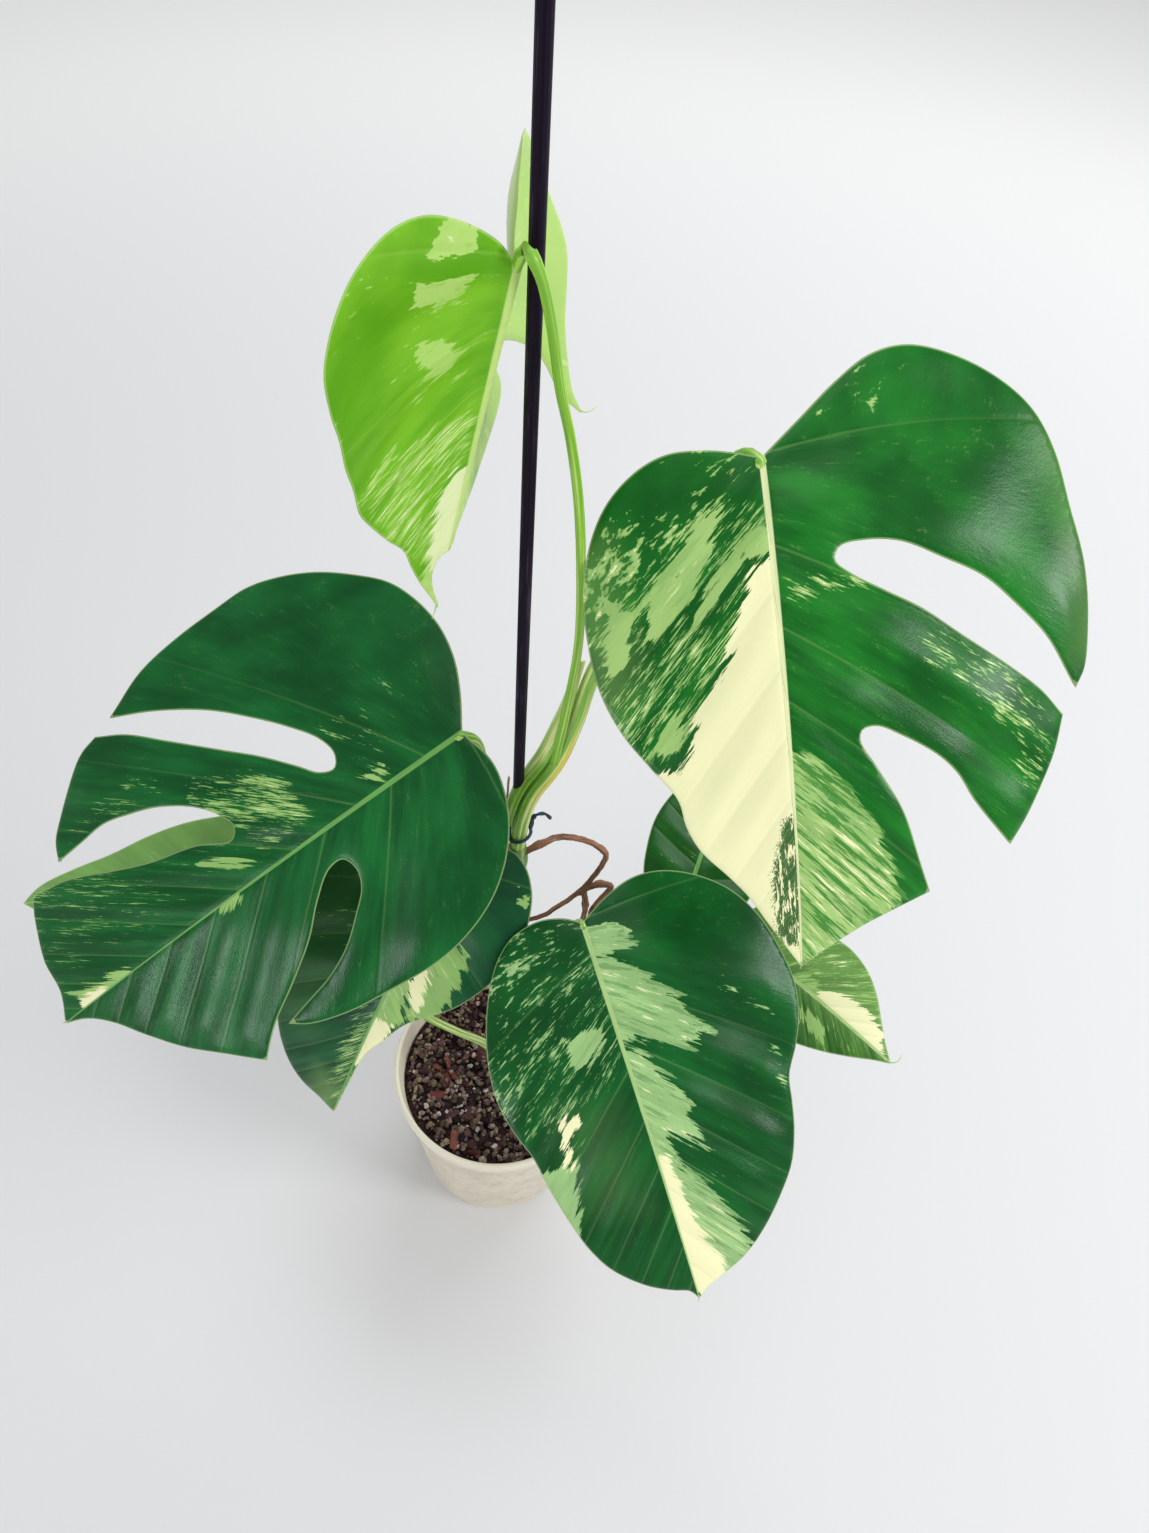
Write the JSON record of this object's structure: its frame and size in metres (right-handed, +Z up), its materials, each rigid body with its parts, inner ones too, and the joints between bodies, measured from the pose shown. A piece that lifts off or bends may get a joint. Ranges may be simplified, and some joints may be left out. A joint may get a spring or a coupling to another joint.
{
  "type": "potted variegated monstera",
  "caption": "Climbing variegated monstera with large split and heart-shaped leaves, tied to a slim stake in a small nursery pot of bark mix.",
  "frame": {"origin": "centre of the pot's underside", "axes": "+Z up along the stake, -Y towards the front of the plant, +X to its right"},
  "size_m": [0.4341, 0.2697, 0.705],
  "materials": {
    "leaves": "satin",
    "young_leaf": "satin",
    "stalks": "satin",
    "roots": "matte",
    "dry_sheath": "matte",
    "bark_mix": "matte",
    "pot_plastic": "satin",
    "stake_plastic": "satin",
    "tie_wire": "satin"
  },
  "bodies": {
    "root": {"pot": "pot_plastic", "soil": "bark_mix", "stake": "stake_plastic", "stem": "stalks", "leaf_1_blade": "young_leaf", "leaf_1_petiole": "stalks", "leaf_2_blade": "leaves", "leaf_2_petiole": "stalks", "leaf_3_blade": "leaves", "leaf_3_petiole": "stalks", "leaf_4_blade": "leaves", "leaf_4_petiole": "stalks", "leaf_5_blade": "leaves", "leaf_5_petiole": "stalks", "leaf_6_blade": "leaves", "leaf_6_petiole": "stalks", "leaf_7_blade": "leaves", "leaf_7_petiole": "stalks", "leaf_8_blade": "leaves", "leaf_8_petiole": "stalks", "aerial_roots": "roots", "dry_sheath": "dry_sheath", "tie": "tie_wire"}
  },
  "joints": []
}
